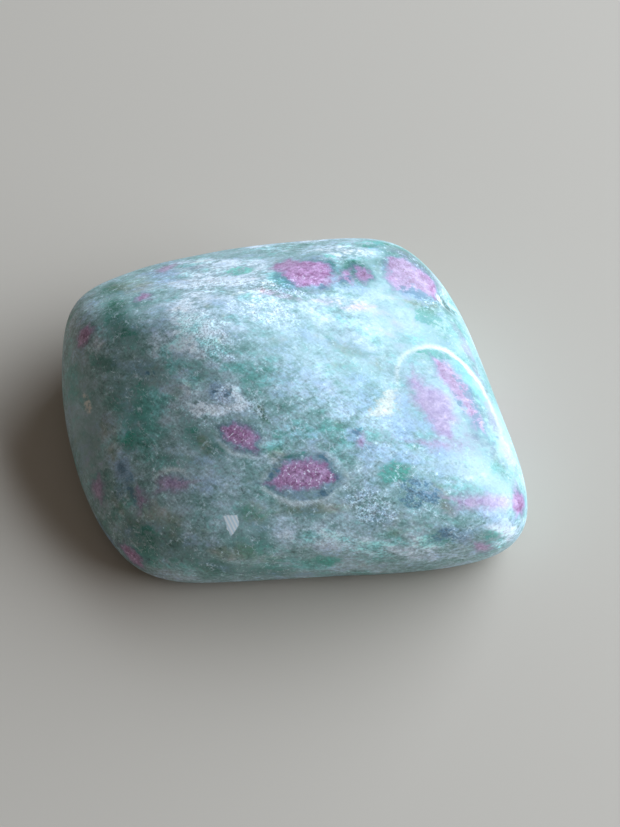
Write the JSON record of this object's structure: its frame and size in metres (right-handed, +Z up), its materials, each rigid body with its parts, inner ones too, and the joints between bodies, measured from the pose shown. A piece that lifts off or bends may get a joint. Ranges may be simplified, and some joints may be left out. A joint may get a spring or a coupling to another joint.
{
  "type": "ruby in fuchsite cabochon",
  "caption": "Freeform tumble-polished stone with a domed crown, soft ground faces and a flat sole to rest on.",
  "frame": {"origin": "middle of the stone's bounding box on the plane of its flat sole", "axes": "+Z up through the crown, X along the stone's longest way, -Y towards the lower front edge"},
  "size_m": [0.047, 0.0426, 0.0178],
  "materials": {
    "ruby_in_fuchsite": "polished"
  },
  "bodies": {
    "root": {"cabochon": "ruby_in_fuchsite"}
  },
  "joints": []
}
